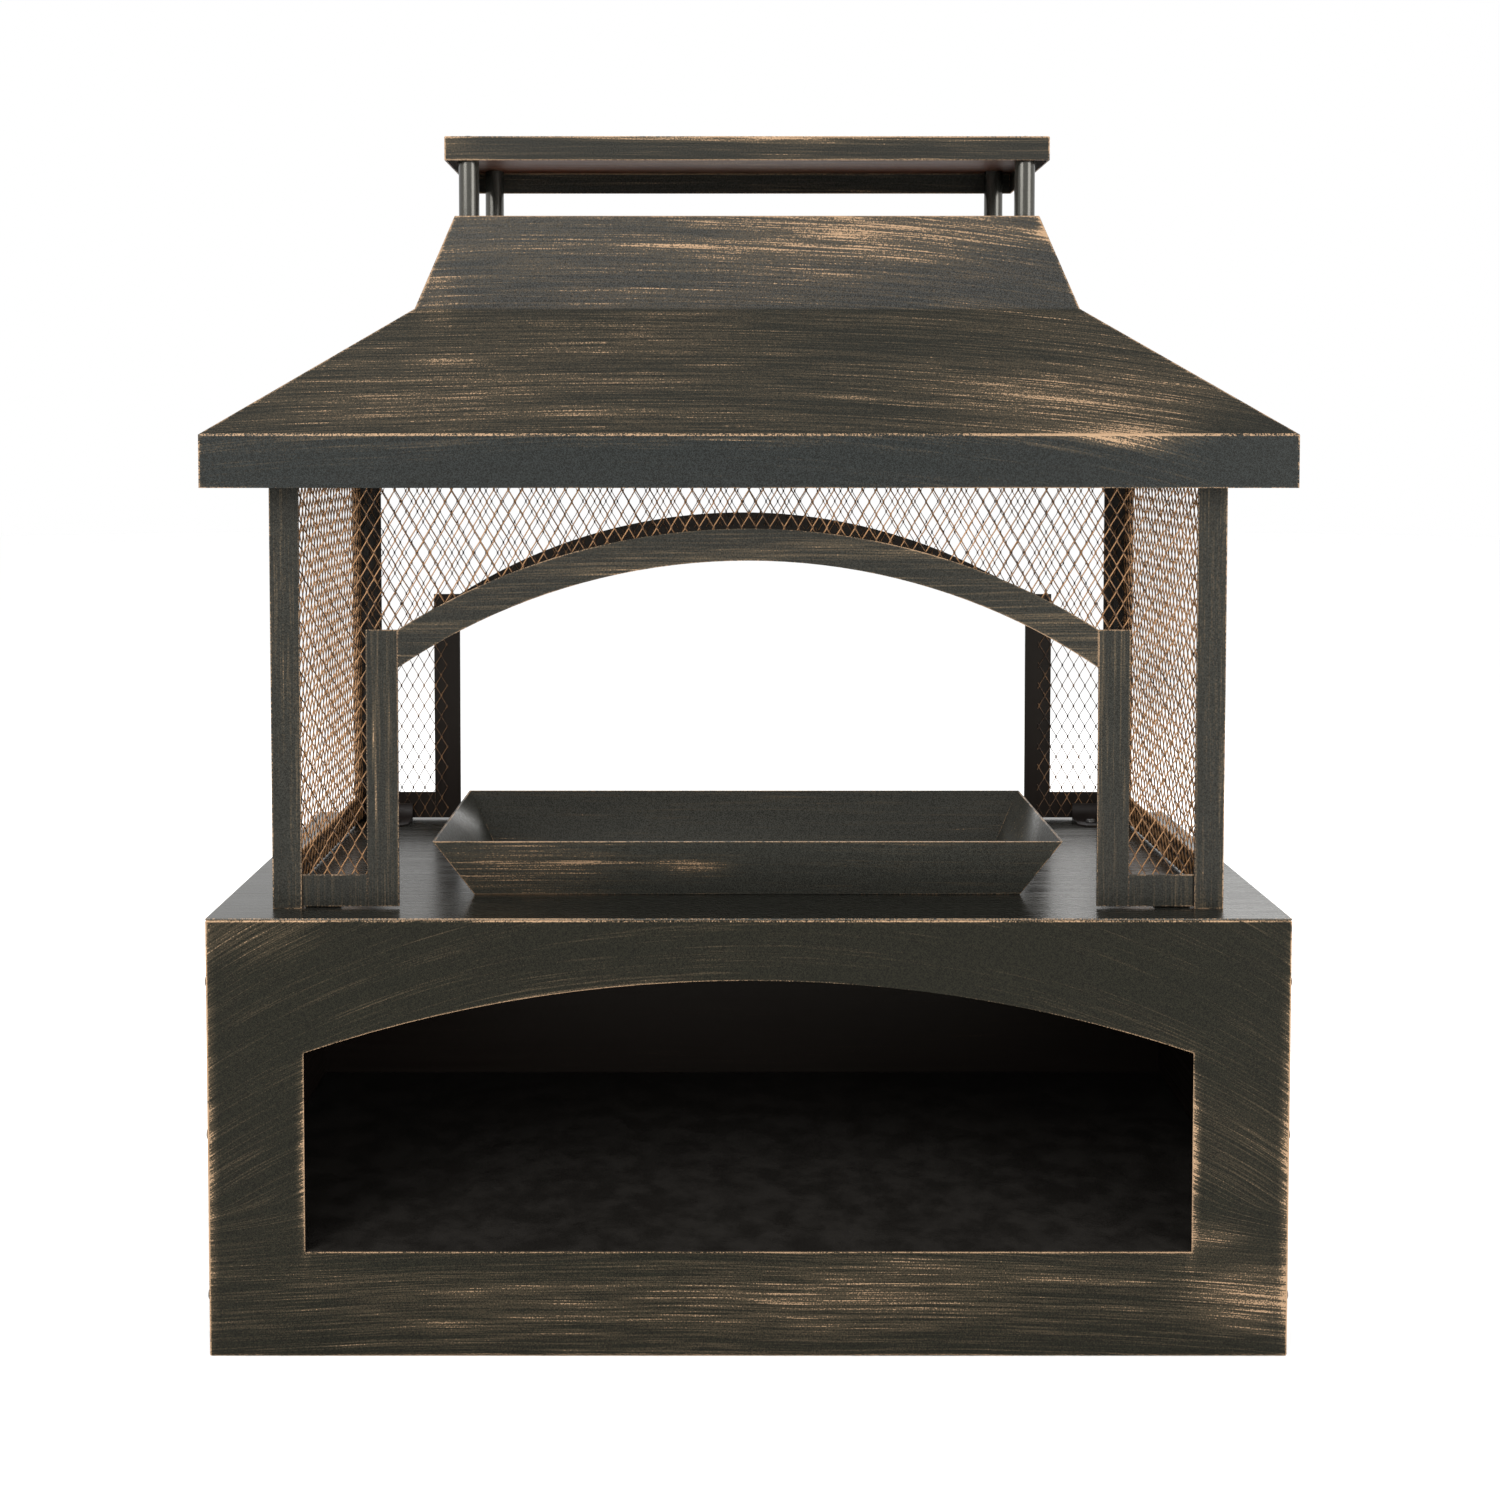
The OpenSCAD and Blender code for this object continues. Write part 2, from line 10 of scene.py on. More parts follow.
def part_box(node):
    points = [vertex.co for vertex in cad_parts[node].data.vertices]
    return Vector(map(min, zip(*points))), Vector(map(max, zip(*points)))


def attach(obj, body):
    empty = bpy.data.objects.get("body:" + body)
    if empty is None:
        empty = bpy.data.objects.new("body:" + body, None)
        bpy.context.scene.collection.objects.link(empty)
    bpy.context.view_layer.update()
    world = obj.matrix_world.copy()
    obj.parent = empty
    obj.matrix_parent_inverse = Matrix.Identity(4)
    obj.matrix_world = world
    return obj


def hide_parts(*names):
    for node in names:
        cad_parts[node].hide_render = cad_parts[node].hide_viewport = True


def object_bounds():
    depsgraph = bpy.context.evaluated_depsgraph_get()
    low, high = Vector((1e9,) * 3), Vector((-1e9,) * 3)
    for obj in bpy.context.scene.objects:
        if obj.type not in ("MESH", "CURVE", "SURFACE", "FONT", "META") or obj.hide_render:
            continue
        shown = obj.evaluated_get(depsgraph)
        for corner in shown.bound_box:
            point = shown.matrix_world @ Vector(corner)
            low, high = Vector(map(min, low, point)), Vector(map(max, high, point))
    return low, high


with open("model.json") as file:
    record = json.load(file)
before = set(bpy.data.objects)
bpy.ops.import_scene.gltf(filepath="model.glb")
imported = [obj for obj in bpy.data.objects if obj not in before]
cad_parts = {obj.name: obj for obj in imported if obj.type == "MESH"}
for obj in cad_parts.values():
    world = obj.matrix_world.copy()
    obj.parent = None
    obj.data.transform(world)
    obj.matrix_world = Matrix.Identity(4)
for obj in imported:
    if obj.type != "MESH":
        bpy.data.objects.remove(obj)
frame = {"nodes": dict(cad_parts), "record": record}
cad_low, cad_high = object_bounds()

# ---------------------------------------------------------------- sizes, in metres

MM = 0.001
FOLD_RADIUS = 1.2 * MM       # outside radius of a fold in the sheet
EDGE_RADIUS = 0.35 * MM      # eased edge of cut sheet and strip
WIDE_FACE = 3.0 * MM         # a face narrower than this is the edge of a sheet
BEVEL_STEPS = 3
FLAT_ANGLE = math.radians(0.05)       # faces this close to one plane are joined
FOLD_ANGLE = math.radians(12)         # a lesser bend is part of a curve and isn't rounded
SHARP_ANGLE = math.radians(30)        # an unrounded edge sharper than this is shaded sharp
WELD = 0.001 * MM            # corners closer than this are one

PIER_W = 80.5 * MM           # base front on each side of its window
EAVES_SHARE = 0.186          # eaves band as a share of the hood's height
UPPER_SHARE = 0.35           # steep upper slope as a share of the hood's height

DIAMOND_W = 11.9 * MM        # expanded metal: short way of a diamond, lies level
DIAMOND_H = 21.4 * MM        # long way of a diamond, stands upright
STRAND_W = {"front": 0.85 * MM, "rear": 0.60 * MM, "side": 1.15 * MM}
COPPER_CAUGHT = {"front": 1.0, "rear": 0.35, "side": 0.9}      # share of the copper on a strand's edge
STRAND_THINNER = 0.72        # thickness of a strand as a share of its width
KNUCKLE = 1.3 * MM           # half the length of the solid joint between diamonds
KNUCKLE_W = 1.7 * MM
STRAND_TILT = math.radians(24)
MESH_JITTER = 0.16 * MM
MESH_SEEDS = {"front_mesh": 11, "rear_mesh": 12, "left_mesh": 13, "right_mesh": 14}
MESH_BOW = 3.0 * MM          # how far the side mesh bellies inward
MESH_RIPPLE = 0.35           # how uneven that belly is
STRAND_START = 0.4 * KNUCKLE          # strands set out this far from the middle of a knuckle
SHORTEST_STUB = 0.08         # a strand cut shorter than this share of itself is left out
# right-leaning strands get more copper as a painted highlight, left-leaning ones less as painted shade
RIGHT_COPPER_PAINTED_LIT, LEFT_COPPER_PAINTED_SHADE, KNUCKLE_COPPER = 1.15, 0.55, 0.1    # copper on strands leaning right, left

BOLT_STEPS = 24
HEAD_H = 3.0 * MM
CAP_HEAD_H = 0.65 * HEAD_H
SOCKET_FLATS = 4.0 * MM
SOCKET_DEPTH = 1.7 * MM
SHANK_SHARE = 6 / 11         # shank as a share of the head, across
DOME_TURN = math.radians(62)
BOLT_SHARP_ANGLE = math.radians(38)
NUT_FOLD = 0.4 * MM
NUT_CUT = 0.25 * MM

# ---------------------------------------------------------------- paint

LEVEL, DEEP, TALL = "x", "y", "z"      # the way a brush stroke runs

# Noise scales per metre: along the stroke, then across it, or one where it is the same all ways.
LINES = (5.0, 400.0)
HAIRS = (18.0, 900.0)
SWEEPS = (2.6, 60.0)
AREAS = (2.6, 7.0)
SPECKS = 780.0
SKIN = 1100.0
WANDER = 2.6
WANDER_REACH = 0.02          # how far a stroke strays from its line

# What the copper's grain is made of, and the levels where it starts to show and is full.
LINES_SHARE = 0.42
HAIRS_SHARE = 0.31
SPECKS_SHARE = 0.27
AMOUNT_SHARE = 0.055
HAZE_FROM, HAZE_FULL, HAZE_MOST = 0.46, 0.68, 0.55
BRIGHT_FROM, BRIGHT_FULL, BRIGHT_MOST = 0.615, 0.70, 0.9
WORN_FROM, WORN_FULL = 0.46, 0.58

NEAR_EDGE = 3.0 * MM         # ragged copper reaches this far in from an edge
WORN_EDGE = 1.6 * MM
BRUSH_RELIEF = 0.10 * MM

CHARCOAL = (0.0095, 0.0095, 0.0072)
CHARCOAL_DEEP = (0.0070, 0.0068, 0.0040)
CHARCOAL_COOL = (0.0130, 0.0130, 0.0108)
CHARCOAL_BLUE = (0.0105, 0.0125, 0.0125)
# painted sheen for the hood's steep upper slope
CHARCOAL_PAINTED_SHEEN = (0.0230, 0.0235, 0.0225)
IRON = (0.026, 0.026, 0.022)
# soot on the inner pieces, also mixed onto faces turned inward as painted shade
SOOT_AND_SHADE = (0.0080, 0.0052, 0.0042)
STORE_BLACK = (0.0095, 0.0082, 0.0068)
# painted glow of the fire's light on faces turned down
PAINTED_FIRELIGHT_RED = (0.060, 0.013, 0.003)
COPPER = (0.38, 0.245, 0.145)
BRONZE = (0.095, 0.070, 0.042)
MESH_DARK = (0.010, 0.0042, 0.0016)
MESH_COPPER = (0.40, 0.215, 0.10)
STEEL_DARK = (0.05, 0.05, 0.05)
STEEL_PALE = (0.11, 0.105, 0.10)
WARM_GLOSS = (1.0, 0.965, 0.87, 1.0)
FLOOR_DARK = (0.96, 0.96, 0.955)
FLOOR_PALE = (0.975, 0.975, 0.97)
WHITE = (1.0, 1.0, 1.0)


# ---------------------------------------------------------------- shader graphs


class Graph:
    """Makes a material and wires its nodes with short calls."""

    def __init__(self, name):
        self.material = bpy.data.materials.new(name)
        self.material.use_nodes = True
        self.tree = self.material.node_tree
        self.shader = self.tree.nodes["Principled BSDF"]
        self.place = self.add("ShaderNodeTexCoord").outputs["Object"]

    def add(self, kind, **settings):
        node = self.tree.nodes.new(kind)
        for key, value in settings.items():
            setattr(node, key, value)
        return node

    def feed(self, socket, value):
        if isinstance(value, bpy.types.NodeSocket):
            self.tree.links.new(value, socket)
        elif value is not None:
            socket.default_value = value

    def math(self, operation, a, b=None):
        node = self.add("ShaderNodeMath", operation=operation)
        self.feed(node.inputs[0], a)
        self.feed(node.inputs[1], b)
        return node.outputs[0]

    def vector(self, operation, a, b):
        node = self.add("ShaderNodeVectorMath", operation=operation)
        self.feed(node.inputs[0], a)
        self.feed(node.inputs[1], b)
        return node.outputs["Vector"]

    def length(self, a):
        node = self.add("ShaderNodeVectorMath", operation="LENGTH")
        self.feed(node.inputs[0], a)
        return node.outputs["Value"]

    def dot(self, a, b):
        node = self.add("ShaderNodeVectorMath", operation="DOT_PRODUCT")
        self.feed(node.inputs[0], a)
        self.feed(node.inputs[1], b)
        return node.outputs["Value"]

    def split(self, a):
        node = self.add("ShaderNodeSeparateXYZ")
        self.feed(node.inputs[0], a)
        return node.outputs

    def join(self, x, y, z):
        node = self.add("ShaderNodeCombineXYZ")
        for socket, value in zip(node.inputs, (x, y, z)):
            self.feed(socket, value)
        return node.outputs[0]

    def noise(self, place, scale=1.0, detail=2.0, roughness=0.5):
        node = self.add("ShaderNodeTexNoise")
        self.feed(node.inputs["Vector"], place)
        node.inputs["Scale"].default_value = scale
        node.inputs["Detail"].default_value = detail
        node.inputs["Roughness"].default_value = roughness
        return node.outputs["Fac"]

    def ramp(self, value, low, high, to_low=0.0, to_high=1.0):
        node = self.add("ShaderNodeMapRange", interpolation_type="SMOOTHSTEP")
        for socket, given in zip(node.inputs, (value, low, high, to_low, to_high)):
            self.feed(socket, given)
        return node.outputs["Result"]

    def mix(self, share, a, b):
        node = self.add("ShaderNodeMix", data_type="RGBA")
        self.feed(node.inputs["Factor"], share)
        for name, value in (("A", a), ("B", b)):
            socket = [s for s in node.inputs if s.name == name and s.type == "RGBA"][0]
            self.feed(socket, value if isinstance(value, bpy.types.NodeSocket) else (*value, 1.0))
        return [s for s in node.outputs if s.type == "RGBA"][0]

    def attribute(self, name):
        return self.add("ShaderNodeAttribute", attribute_name=name).outputs["Fac"]

    def edge(self, radius):
        """Near 1 just beside a sharp or rounded edge, 0 on the flat a radius away."""
        bevel = self.add("ShaderNodeBevel", samples=4)
        bevel.inputs["Radius"].default_value = radius
        flat = self.add("ShaderNodeNewGeometry").outputs["Normal"]
        return self.ramp(self.dot(bevel.outputs["Normal"], flat), 0.998, 0.90)

    def bump(self, height, distance, strength=1.0, under=None):
        node = self.add("ShaderNodeBump")
        node.inputs["Strength"].default_value = strength
        node.inputs["Distance"].default_value = distance
        self.feed(node.inputs["Height"], height)
        self.feed(node.inputs["Normal"], under)
        return node.outputs["Normal"]

    def set(self, name, value):
        self.feed(self.shader.inputs[name], value)


def patch(centre, reach, strength):
    """A soft-edged place with more copper, or less if the strength is below nought."""
    return {"centre": centre, "reach": reach, "strength": strength}


def stroke_field(g, arc, level_below):
    """Where each point lies among the brush strokes, which wander a little and may droop in arcs."""
    x, y, z = g.split(g.place)
    wander = g.math("MULTIPLY", g.noise(g.place, WANDER, 1.0), WANDER_REACH)
    field_z = g.math("ADD", z, wander)
    if arc:
        # The way up a slope and the way in are one, so that a curved stroke stays whole on every slope.
        field_z = g.math("ADD", field_z, y)
        y = 0.0
        crown, rate = arc
        past = g.math("SUBTRACT", x, crown)
        square = g.math("MULTIPLY", past, past)
        fourth = g.math("MULTIPLY", square, square)
        droop = g.math("MULTIPLY", weighed(g, (square, 1.0), (fourth, 2.0)), rate)
        if level_below:
            droop = g.math("MULTIPLY", droop, g.ramp(z, 0.7 * level_below, 1.5 * level_below, 0.12, 1.0))
        field_z = g.math("ADD", field_z, droop)
    return g.join(x, y, field_z)


def stretched(g, field, along, lengthwise, across):
    """The field scaled by one number along the strokes and by another across them."""
    scale = tuple(lengthwise if axis == along else across for axis in "xyz")
    return g.vector("MULTIPLY", field, scale)


def weighed(g, *pairs):
    """The sum of each value times its weight."""
    total = None
    for value, weight in pairs:
        part = g.math("MULTIPLY", value, weight)
        total = part if total is None else g.math("ADD", total, part)
    return total


def scaled(colour, share):
    return tuple(c * share for c in colour)


def shaded(g, colour, share):
    """A fixed or computed colour times a share: lighter where the share is above 1."""
    if isinstance(colour, tuple):
        return scaled(colour, share)
    return g.vector("MULTIPLY", colour, (share, share, share))


def facing_in(g):
    """1 on faces turned towards the object's upright middle line, 0 on those turned away."""
    normal = g.add("ShaderNodeNewGeometry").outputs["True Normal"]
    x, y, z = g.split(g.place)
    return g.ramp(g.dot(normal, g.join(x, y, 0.0)), -0.005, -0.03)


def brushed_paint(name, along, copper=0.0, patches=(), edges=0.8, ragged=1.2, arc=None, level_below=None,
                  base=CHARCOAL, rough=0.44, gloss=0.20, strokes=1.0, relief=1.0, bands=(),
                  soot_and_painted_shade=False, painted_firelight=False):
    """Satin enamel dry-brushed with copper: a haze of fine strokes, bright specks and worn edges.

    copper is how much there is overall, edges how bright the worn edges are and ragged how far
    copper spreads beside them. arc is the crown and the rate of curved strokes, level_below the
    height under which they run level again. bands are (from height, colour) pairs going up.
    A flag darkens the faces turned inward with soot and painted shade for the dim inside; another reddens
    the faces turned down with a painted glow of firelight.
    """
    g = Graph(name)
    field = stroke_field(g, arc, level_below)

    lines = g.noise(stretched(g, field, along, *LINES), 1.0, 2.0, 0.65)
    hairs = g.noise(stretched(g, field, along, *HAIRS), 1.0, 1.0, 0.5)
    sweeps = g.noise(stretched(g, field, along, *SWEEPS), 1.0, 2.0, 0.55)
    specks = g.noise(g.place, SPECKS, 1.0, 0.5)
    areas = g.noise(stretched(g, g.place, along, *AREAS), 1.0, 2.0, 0.5)

    near_edge = g.math("MAXIMUM", g.edge(NEAR_EDGE), g.attribute("rim"))
    amount = weighed(g, (g.math("SUBTRACT", areas, 0.5), 3.0), (g.math("SUBTRACT", sweeps, 0.5), 3.2))
    amount = g.math("ADD", amount, copper)
    for spot in patches:
        away = g.vector("DIVIDE", g.vector("SUBTRACT", g.place, spot["centre"]), spot["reach"])
        amount = g.math("ADD", amount, g.ramp(g.length(away), 1.0, 0.1, 0.0, spot["strength"]))
    amount = g.math("ADD", amount, g.math("MULTIPLY", near_edge, ragged))

    grain = weighed(g, (lines, LINES_SHARE), (hairs, HAIRS_SHARE), (specks, SPECKS_SHARE),
                    (amount, AMOUNT_SHARE))
    haze = g.ramp(grain, HAZE_FROM, HAZE_FULL, 0.0, HAZE_MOST * strokes)
    bright = g.ramp(grain, BRIGHT_FROM, BRIGHT_FULL, 0.0, BRIGHT_MOST)
    wear = weighed(g, (sweeps, 0.45), (areas, 0.15), (specks, 0.40), (amount, 0.02))
    worn = g.ramp(wear, WORN_FROM, WORN_FULL)
    rim = g.math("MAXIMUM", g.edge(WORN_EDGE), g.attribute("rim"))
    bright = g.math("MAXIMUM", bright, g.math("MULTIPLY", rim, g.math("MULTIPLY", worn, edges)))

    skin = g.noise(g.place, SKIN, 1.0, 0.5)
    height = g.split(g.place)[2]
    tone = base
    for floor, colour in bands:
        tone = g.mix(g.ramp(height, floor - 1.5 * MM, floor + 1.5 * MM), tone, colour)
    tone = g.mix(g.ramp(skin, 0.30, 0.70), shaded(g, tone, 0.35), shaded(g, tone, 1.65))
    # painted firelight: faces turned down get a red glow, varying in patches
    if painted_firelight:
        down = g.split(g.add("ShaderNodeNewGeometry").outputs["Normal"])[2]
        firelight_glow = g.math("MULTIPLY", g.ramp(down, -0.5, -0.9), g.ramp(areas, 0.3, 0.6, 0.6, 1.0))
        tone = g.mix(firelight_glow, tone, PAINTED_FIRELIGHT_RED)
    tone = g.mix(haze, tone, BRONZE)
    tone = g.mix(bright, tone, COPPER)
    # faces turned inward go dark: soot, and painted shade standing in for the dim inside
    if soot_and_painted_shade:
        inside = g.math("MULTIPLY", facing_in(g), g.ramp(skin, 0.2, 0.8, 1.0, 0.93))
        tone = g.mix(inside, tone, SOOT_AND_SHADE)
    g.set("Base Color", tone)
    g.set("Metallic", g.math("MULTIPLY", bright, 0.2))
    g.set("Roughness", g.ramp(lines, 0.3, 0.7, 0.85 * rough, 1.25 * rough))
    g.set("Specular IOR Level", gloss)
    g.set("Specular Tint", WARM_GLOSS)
    fine = g.bump(skin, BRUSH_RELIEF, 0.5 * relief)
    g.set("Normal", g.bump(grain, BRUSH_RELIEF, 0.5 * relief, fine))
    return g.material


def plain_enamel(name, base, rough=0.5, copper=0.0):
    """Enamel on hidden and inner pieces: clouded with dust, finely grained, a little worn at its edges."""
    g = Graph(name)
    dust = g.noise(g.place, 38.0, 3.0, 0.6)
    fine = g.noise(g.place, 700.0, 2.0, 0.5)
    tone = g.mix(g.ramp(dust, 0.35, 0.7), base, scaled(base, 1.6))
    worn = g.math("MULTIPLY", g.edge(1.2 * MM), g.ramp(g.noise(g.place, 55.0, 2.0), 0.48, 0.6, 0.0, copper))
    g.set("Base Color", g.mix(worn, tone, BRONZE))
    g.set("Specular IOR Level", 0.3)
    g.set("Roughness", g.ramp(dust, 0.3, 0.7, rough - 0.06, rough + 0.1))
    g.set("Normal", g.bump(fine, 0.08 * MM, 0.4))
    return g.material


def strand_paint(name):
    """Expanded metal: one edge of each strand caught the copper brush; strands leaning right carry more of
    it as a painted highlight, those leaning left less as painted shade.
    """
    g = Graph(name)
    patchy = g.noise(g.place, 26.0, 2.0, 0.6)
    fine = g.noise(g.place, 420.0, 2.0, 0.6)
    share = g.math("ADD", g.math("MULTIPLY", g.attribute("rubbed_and_painted_light"), 0.38), g.math("MULTIPLY", patchy, 0.55))
    share = g.math("ADD", share, g.math("MULTIPLY", fine, 0.5))
    bare = g.ramp(share, 0.42, 0.98)
    g.set("Base Color", g.mix(bare, MESH_DARK, MESH_COPPER))
    g.set("Specular IOR Level", 0.2)
    g.set("Metallic", g.math("MULTIPLY", bare, 0.4))
    g.set("Roughness", g.ramp(fine, 0.3, 0.7, 0.34, 0.5))
    return g.material


def dark_steel(name):
    """Blackened fixings, cloudy and finely grained."""
    g = Graph(name)
    fine = g.noise(g.place, 600.0, 3.0, 0.6)
    cloud = g.noise(g.place, 120.0, 2.0, 0.5)
    g.set("Base Color", g.mix(g.ramp(cloud, 0.35, 0.65), STEEL_DARK, STEEL_PALE))
    g.set("Metallic", 0.85)
    g.set("Roughness", g.ramp(fine, 0.3, 0.7, 0.32, 0.5))
    g.set("Normal", g.bump(fine, 0.05 * MM, 0.3))
    return g.material


# ---------------------------------------------------------------- mesh tools

BODY_OF = {node: body for body, nodes in frame["record"]["behaviour"]["bodies"].items() for node in nodes}


def stand_for(piece, node):
    """The piece replaces one CAD node and rides on its body."""
    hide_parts(node)
    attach(piece, BODY_OF[node])
    return piece


def add_object(name, mesh, material):
    mesh.materials.append(material)
    piece = bpy.data.objects.new(name, mesh)
    bpy.context.scene.collection.objects.link(piece)
    return piece


def clean_copy(node):
    """The CAD node's mesh with its flat faces whole again."""
    bm = bmesh.new()
    bm.from_mesh(frame["nodes"][node].data)
    bmesh.ops.remove_doubles(bm, verts=bm.verts, dist=WELD)
    bmesh.ops.dissolve_limit(bm, angle_limit=FLAT_ANGLE, verts=bm.verts, edges=bm.edges)
    bmesh.ops.recalc_face_normals(bm, faces=bm.faces)
    return bm


def face_width(face):
    return 2 * face.calc_area() / face.calc_perimeter()


def edge_share(edge, fold, cut):
    """How much of the fold radius an edge gets: all on a fold, little on a cut edge, none inside."""
    if len(edge.link_faces) != 2 or not edge.is_convex:
        return 0.0
    if edge.calc_face_angle() < FOLD_ANGLE:
        return 0.0
    if min(face_width(f) for f in edge.link_faces) > WIDE_FACE:
        return 1.0
    return cut / fold


def formed(node, material, fold=FOLD_RADIUS, cut=EDGE_RADIUS):
    """A folded or cut metal piece: the CAD node's shape with rounded folds and eased edges."""
    bm = clean_copy(node)
    weight = bm.edges.layers.float.new("bevel_weight_edge")
    for edge in bm.edges:
        edge[weight] = edge_share(edge, fold, cut)
        if edge[weight] == 0 and len(edge.link_faces) == 2:
            edge.smooth = edge.calc_face_angle() < SHARP_ANGLE
    for face in bm.faces:
        face.smooth = True
    sharp = bpy.data.meshes.new(node + "_sharp")
    bm.to_mesh(sharp)
    bm.free()
    draft = add_object(node + "_draft", sharp, material)
    sharp.materials.append(material)
    bevel = draft.modifiers.new("eased", "BEVEL")
    bevel.limit_method = "WEIGHT"
    bevel.width = fold
    bevel.segments = BEVEL_STEPS
    bevel.use_clamp_overlap = False
    bevel.material = 1
    shading = draft.modifiers.new("flat_faces_stay_flat", "WEIGHTED_NORMAL")
    shading.keep_sharp = True
    bpy.context.view_layer.update()
    eased = draft.evaluated_get(bpy.context.evaluated_depsgraph_get())
    mesh = bpy.data.meshes.new_from_object(eased)
    mesh.name = node + "_formed"
    bpy.data.objects.remove(draft)
    mark_rims(mesh)
    piece = bpy.data.objects.new(node + "_formed", mesh)
    bpy.context.scene.collection.objects.link(piece)
    return stand_for(piece, node)


def mark_rims(mesh):
    """Note which faces are rounded edges in the "rim" attribute, and go back to one material."""
    rim = mesh.attributes.new("rim", "FLOAT", "CORNER")
    for face in mesh.polygons:
        for corner in face.loop_indices:
            rim.data[corner].value = float(face.material_index)
        face.material_index = 0
    mesh.materials.pop(index=1)


def islands(node):
    """Lowest and highest corner of each separate solid in a CAD node."""
    bm = bmesh.new()
    bm.from_mesh(frame["nodes"][node].data)
    bmesh.ops.remove_doubles(bm, verts=bm.verts, dist=WELD)
    left = set(bm.verts)
    found = []
    while left:
        group, queue = [], [left.pop()]
        while queue:
            vert = queue.pop()
            group.append(vert.co.copy())
            for edge in vert.link_edges:
                other = edge.other_vert(vert)
                if other in left:
                    left.remove(other)
                    queue.append(other)
        low = Vector(min(c[i] for c in group) for i in range(3))
        high = Vector(max(c[i] for c in group) for i in range(3))
        found.append((low, high))
    bm.free()
    return sorted(found, key=lambda pair: tuple(round(v, 6) for v in pair[0]))


# ---------------------------------------------------------------- bolts


def hexagon_point(step, flats):
    """A point on a hexagon, level with the same step of a circle of BOLT_STEPS."""
    angle = 2 * math.pi * step / BOLT_STEPS
    sector = (angle + math.pi / 6) % (math.pi / 3) - math.pi / 6
    radius = flats / 2 / math.cos(sector)
    return radius * math.cos(angle), radius * math.sin(angle)


def bolt_rings(head_r, head_h, shank_r, reach):
    """Rings from the shank's tip up the shank, over the domed head and down into the socket."""
    chamfer = 0.25 * MM
    profile = [(0.7 * shank_r, -reach), (shank_r, -reach + 0.3 * shank_r), (shank_r, 0.0),
               (head_r - chamfer, 0.0), (head_r, chamfer), (head_r, 0.35 * head_h)]
    for part in (0.25, 0.5, 0.75, 1.0):
        turn = part * DOME_TURN
        profile.append((head_r * (0.42 + 0.58 * math.cos(turn)),
                        head_h * (0.35 + 0.65 * math.sin(turn) / math.sin(DOME_TURN))))
    circles = [[(r * math.cos(2 * math.pi * k / BOLT_STEPS), r * math.sin(2 * math.pi * k / BOLT_STEPS), z)
                for k in range(BOLT_STEPS)] for r, z in profile]
    for flats, z in ((SOCKET_FLATS + 0.5 * MM, head_h), (SOCKET_FLATS, head_h - 0.3 * MM),
                     (SOCKET_FLATS, head_h - SOCKET_DEPTH)):
        circles.append([(*hexagon_point(k, flats), z) for k in range(BOLT_STEPS)])
    return circles


def add_bolt(bm, turn, head_r, head_h, shank_r, reach):
    """One socket-head bolt, its seat at the turn's origin and its head along its +Z."""
    rings = [[bm.verts.new(turn @ Vector(p)) for p in ring]
             for ring in bolt_rings(head_r, head_h, shank_r, reach)]
    for lower, upper in zip(rings, rings[1:]):
        for k in range(BOLT_STEPS):
            n = (k + 1) % BOLT_STEPS
            bm.faces.new((lower[k], lower[n], upper[n], upper[k]))
    bm.faces.new(list(reversed(rings[0])))
    bm.faces.new(rings[-1])


def bolts(node, axis, material, dome_h=HEAD_H):
    """Every bolt of a CAD node, its head on the outer end along the axis, domed this high."""
    bm = bmesh.new()
    index = "xyz".index(axis)
    for low, high in islands(node):
        centre = (low + high) / 2
        size = high - low
        side = 1.0 if axis == "z" or centre[index] > 0 else -1.0
        outward = Vector((0, 0, 0))
        outward[index] = side
        seat = centre + outward * (size[index] / 2 - HEAD_H)
        turn = Matrix.Translation(seat) @ outward.to_track_quat("Z", "Y").to_matrix().to_4x4()
        head_r = size[(index + 1) % 3] / 2
        add_bolt(bm, turn, head_r, dome_h, head_r * SHANK_SHARE, size[index] - HEAD_H)
    bmesh.ops.recalc_face_normals(bm, faces=bm.faces)
    for face in bm.faces:
        face.smooth = True
    mesh = bpy.data.meshes.new(node + "_turned")
    bm.to_mesh(mesh)
    bm.free()
    mesh.set_sharp_from_angle(angle=BOLT_SHARP_ANGLE)
    return stand_for(add_object(node + "_turned", mesh, material), node)


# ---------------------------------------------------------------- expanded metal


def trimmed(a, b, inside):
    """The stretch of a strand that lies inside the sheet's outline, or None."""
    keep_a, keep_b = inside(*a), inside(*b)
    if not keep_a and not keep_b:
        return None
    if keep_a and keep_b:
        return a, b
    near, far = (a, b) if keep_a else (b, a)
    low, high = 0.0, 1.0
    for _ in range(12):
        middle = (low + high) / 2
        point = (near[0] + (far[0] - near[0]) * middle, near[1] + (far[1] - near[1]) * middle)
        if inside(*point):
            low = middle
        else:
            high = middle
    if low < SHORTEST_STUB:
        return None
    cut = (near[0] + (far[0] - near[0]) * low, near[1] + (far[1] - near[1]) * low)
    return (near, cut) if keep_a else (cut, near)


def strand_box(a, b, lean, breadth):
    """Eight corners of a strand as (across, up, out) triples, its flat side tilted as slitting leaves it."""
    along = Vector((b[0] - a[0], b[1] - a[1], 0)).normalized()
    across = Vector((-along.y, along.x, 0))
    out = Vector((0, 0, 1))
    tilt = STRAND_TILT if lean else -STRAND_TILT
    wide = across * math.cos(tilt) + out * math.sin(tilt)
    thick = out * math.cos(tilt) - across * math.sin(tilt)
    corners = []
    for end in (a, b):
        for s, t in ((-1, -1), (1, -1), (1, 1), (-1, 1)):
            to_edge = wide * (s * breadth / 2)
            to_face = thick * (t * breadth * STRAND_THINNER / 2)
            corners.append(Vector((*end, 0)) + to_edge + to_face)
    return corners


